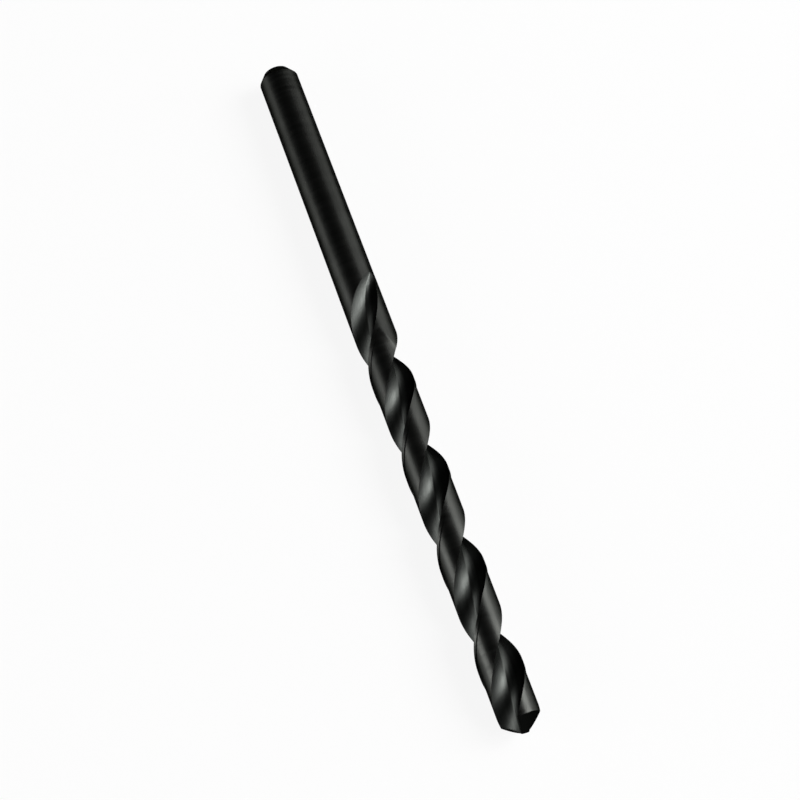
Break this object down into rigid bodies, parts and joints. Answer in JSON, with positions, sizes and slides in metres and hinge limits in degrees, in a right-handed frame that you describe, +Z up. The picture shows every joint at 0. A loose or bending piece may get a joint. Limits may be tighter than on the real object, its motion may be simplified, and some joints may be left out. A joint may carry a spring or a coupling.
{
  "type": "twist drill bit",
  "caption": "Straight-shank jobber twist drill in black-oxide steel: helical flutes, narrow margins, conical point and bevelled shank end.",
  "frame": {"origin": "centre of the flat end face of the shank, on the drill's axis", "axes": "+X along the axis from the shank's end to the point, +Z up with the drill lying on its side"},
  "size_m": [0.0921, 0.0052, 0.0052],
  "materials": {
    "black_oxide_steel": "ground high-speed steel with a black steam-oxide finish, satin"
  },
  "bodies": {
    "root": {"twist_drill": "black_oxide_steel"}
  },
  "joints": []
}
